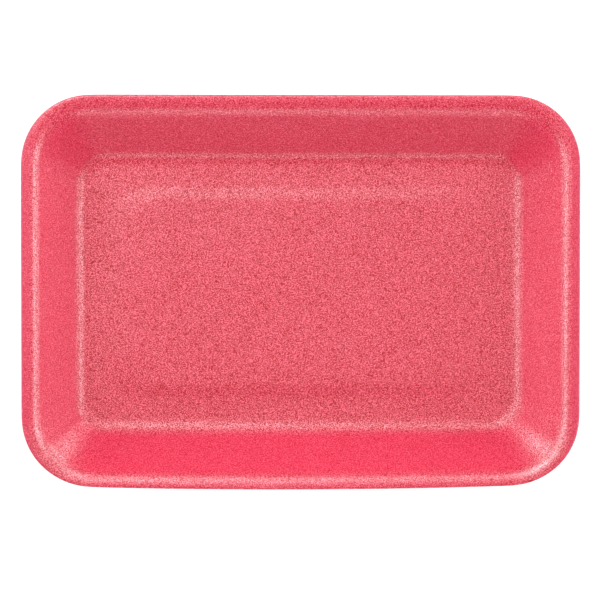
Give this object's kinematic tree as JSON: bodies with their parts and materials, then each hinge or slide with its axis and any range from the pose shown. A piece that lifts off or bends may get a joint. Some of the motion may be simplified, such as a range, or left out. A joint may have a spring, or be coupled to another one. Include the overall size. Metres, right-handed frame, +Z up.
{
  "type": "foam tray",
  "caption": "Shallow rectangular foam tray with rounded corners, sloping walls, a rolled lip and a slightly raised floor panel, empty.",
  "frame": {"origin": "below the middle of the outline, on the surface that the tray stands on", "axes": "+X along the tray's length, +Y towards its rear long side, +Z up out of its open side"},
  "size_m": [0.213, 0.1504, 0.023],
  "materials": {
    "rose_foam": "satin foam skin with a fine grain"
  },
  "bodies": {
    "root": {"tray": "rose_foam"}
  },
  "joints": []
}
